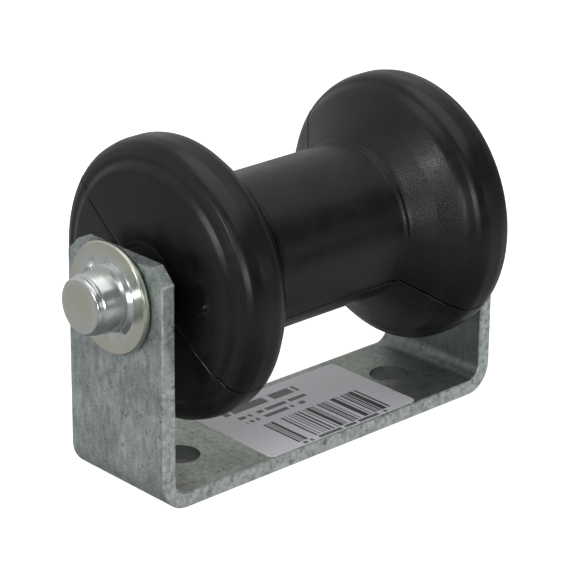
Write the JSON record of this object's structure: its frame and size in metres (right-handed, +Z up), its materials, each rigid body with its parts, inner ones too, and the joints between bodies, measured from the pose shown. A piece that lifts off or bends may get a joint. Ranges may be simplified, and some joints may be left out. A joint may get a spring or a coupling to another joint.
{
  "type": "bow roller",
  "caption": "Black rubber spool roller on a steel shaft with push-on end caps, in a galvanised U bracket with bolt holes in its base.",
  "frame": {"origin": "middle of the bracket's underside, midway between the two base holes", "axes": "+X along the roller's axis towards the right ear, +Y across the bracket strip towards its back edge, +Z up from the base to the roller"},
  "size_m": [0.1334, 0.07, 0.0864],
  "materials": {
    "galvanised_steel": "hot-dip galvanised, mottled matt grey",
    "black_rubber": "moulded, satin",
    "zinc_passivated_steel": "bright zinc plate with a faint yellow passivation",
    "bright_steel": "cold drawn, zinc plated",
    "spring_steel": "hardened and phosphated",
    "sticker_paper": "semi-gloss label stock"
  },
  "bodies": {
    "bracket": {"bracket": "galvanised_steel", "price_label": "sticker_paper"},
    "axle": {"roller_shaft": "bright_steel", "left_axle_cap": "zinc_passivated_steel", "right_axle_cap": "zinc_passivated_steel", "left_spring_retainer": "spring_steel", "right_spring_retainer": "spring_steel"},
    "roller": {"rubber_roller": "black_rubber"}
  },
  "joints": [
    {"name": "shaft_in_ears", "type": "hinge", "parent": "bracket", "child": "axle", "pos_m": [0, 0, 0.0514], "axis": [1, 0, 0], "continuous": true},
    {"name": "roller_on_shaft", "type": "hinge", "parent": "axle", "child": "roller", "pos_m": [0, 0, 0.0514], "axis": [1, 0, 0], "continuous": true}
  ]
}
